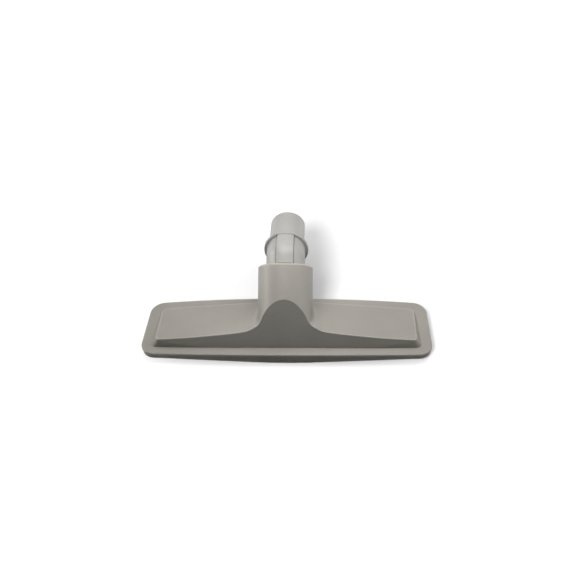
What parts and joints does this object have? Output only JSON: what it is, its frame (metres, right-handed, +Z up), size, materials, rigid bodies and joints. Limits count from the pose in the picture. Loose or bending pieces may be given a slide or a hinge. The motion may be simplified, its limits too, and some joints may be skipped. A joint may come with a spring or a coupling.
{
  "type": "vacuum floor brush",
  "caption": "Wide low floor brush for a vacuum cleaner: wedge-topped housing on bristle rows, with a slanted neck and a swivelling bent elbow for the wand.",
  "frame": {"origin": "on the floor under the bristle tips, half way across the brush and half way between the front edge and the wand tube's end", "axes": "+X along the brush to its right end seen from the front, -Y towards the front, +Z up; the wand tube points to +Y"},
  "size_m": [0.2634, 0.1208, 0.0847],
  "materials": {
    "housing_plastic": "satin warm grey moulded plastic",
    "sole_plastic": "satin warm grey moulded plastic, a little darker than the housing",
    "elbow_plastic": "satin light grey moulded plastic",
    "strip_plastic": "matt dark grey plastic",
    "bristle": "dull black nylon filament",
    "seal_rubber": "matt black rubber",
    "bearing_plastic": "waxy off-white acetal",
    "screw_steel": "zinc plated steel"
  },
  "bodies": {
    "brush_head": {"housing": "housing_plastic", "sole_plate": "sole_plastic", "neck_seal": "seal_rubber", "thrust_washer": "bearing_plastic", "sole_screws": "screw_steel", "strip_front_left": "strip_plastic", "tufts_front_left": "bristle", "strip_front_right": "strip_plastic", "tufts_front_right": "bristle", "strip_rear": "strip_plastic", "tufts_rear": "bristle", "strip_left": "strip_plastic", "tufts_left": "bristle", "strip_right": "strip_plastic", "tufts_right": "bristle"},
    "swivel_elbow": {"elbow": "elbow_plastic", "retaining_ring": "bearing_plastic"}
  },
  "joints": [
    {"name": "elbow_swivel", "type": "hinge", "parent": "brush_head", "child": "swivel_elbow", "pos_m": [0, 0.00335, 0.0605], "axis": [0, 0.788, 0.6157], "continuous": true}
  ]
}
